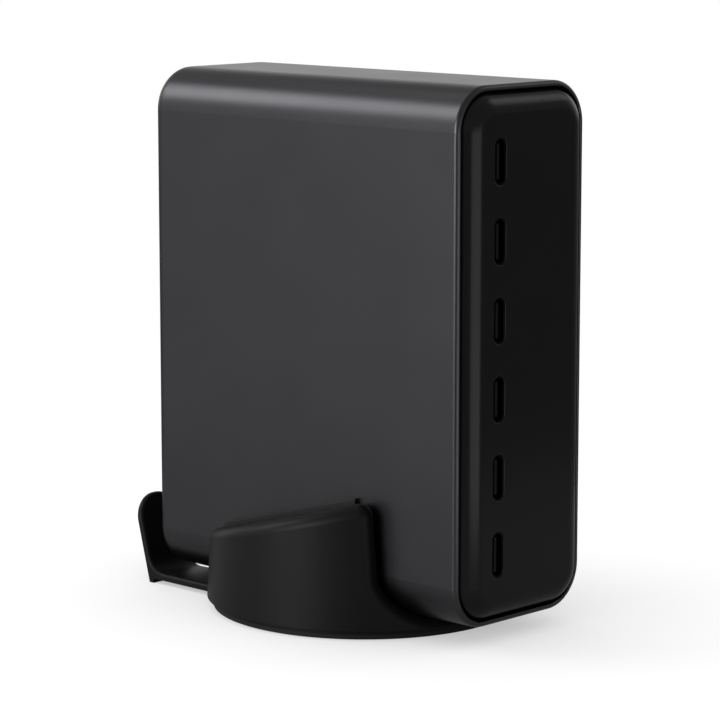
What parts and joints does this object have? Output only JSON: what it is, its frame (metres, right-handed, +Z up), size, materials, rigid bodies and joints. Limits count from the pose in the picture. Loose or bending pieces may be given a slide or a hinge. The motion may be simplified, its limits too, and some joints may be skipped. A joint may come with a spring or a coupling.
{
  "type": "multi-port usb desktop charger",
  "caption": "Tall slim desktop charger with a column of USB-C sockets in a black front panel, resting upright in a round cradle with sloped cheeks and a cord fork behind.",
  "frame": {"origin": "middle of the round foot pad, on the desk", "axes": "+Z up, the sockets face -Y, the mains inlet and the cord fork are on the +Y side"},
  "size_m": [0.0636, 0.092, 0.1067],
  "materials": {
    "housing_grey": "satin dark grey coat with a fine metallic grain",
    "panel_black": "black satin moulding",
    "cradle_black": "black fine-textured moulding",
    "silicone_black": "matt black silicone",
    "screw_steel": "zinc plated",
    "inlet_black": "black moulding",
    "pin_brass": "nickel plated",
    "wire_blue": "blue insulation",
    "wire_brown": "brown insulation",
    "board_green": "solder-resist coat",
    "film_clear": "milky film",
    "spreader_aluminium": "rolled sheet",
    "ferrite_grey": "ground ferrite",
    "winding_tape": "yellow tape",
    "winding_copper": "enamelled copper",
    "thermal_pad_blue": "soft pad",
    "choke_ring_green": "coated ring",
    "capacitor_sleeve": "shrunk sleeve",
    "chip_black": "moulded package",
    "film_box_yellow": "moulded box",
    "fuse_brown": "moulded case",
    "socket_steel": "black plated",
    "tongue_black": "black moulding",
    "inductor_grey": "pressed powder",
    "can_aluminium": "plain can"
  },
  "bodies": {
    "root": {"base_plate": "cradle_black", "base_screws": "screw_steel", "boost_choke_core": "ferrite_grey", "boost_choke_thermal_pad": "thermal_pad_blue", "boost_choke_winding": "winding_copper", "bridge_rectifier": "chip_black", "bulk_capacitor_1": "capacitor_sleeve", "bulk_capacitor_2": "capacitor_sleeve", "cradle": "cradle_black", "foot_pad": "silicone_black", "front_panel": "panel_black", "grip_liner_left": "silicone_black", "grip_liner_right": "silicone_black", "heat_spreader": "spreader_aluminium", "housing": "housing_grey", "inlet_body": "inlet_black", "inlet_pin_lower": "pin_brass", "inlet_pin_upper": "pin_brass", "inlet_wire_lower": "wire_blue", "inlet_wire_upper": "wire_brown", "insulation_sheet": "film_clear", "line_choke_core": "choke_ring_green", "line_choke_winding_lower": "winding_copper", "line_choke_winding_upper": "winding_copper", "main_board": "board_green", "mains_fuse": "fuse_brown", "output_capacitor_1": "can_aluminium", "output_capacitor_2": "can_aluminium", "output_capacitor_3": "can_aluminium", "output_capacitor_4": "can_aluminium", "output_capacitor_5": "can_aluminium", "output_capacitor_6": "can_aluminium", "output_inductor_1": "inductor_grey", "output_inductor_2": "inductor_grey", "output_inductor_3": "inductor_grey", "output_inductor_4": "inductor_grey", "output_inductor_5": "inductor_grey", "output_inductor_6": "inductor_grey", "safety_capacitor": "film_box_yellow", "transformer_core": "ferrite_grey", "transformer_thermal_pad": "thermal_pad_blue", "transformer_winding": "winding_tape", "usb_shell_1": "socket_steel", "usb_shell_2": "socket_steel", "usb_shell_3": "socket_steel", "usb_shell_4": "socket_steel", "usb_shell_5": "socket_steel", "usb_shell_6": "socket_steel", "usb_tongue_1": "tongue_black", "usb_tongue_2": "tongue_black", "usb_tongue_3": "tongue_black", "usb_tongue_4": "tongue_black", "usb_tongue_5": "tongue_black", "usb_tongue_6": "tongue_black"}
  },
  "joints": []
}
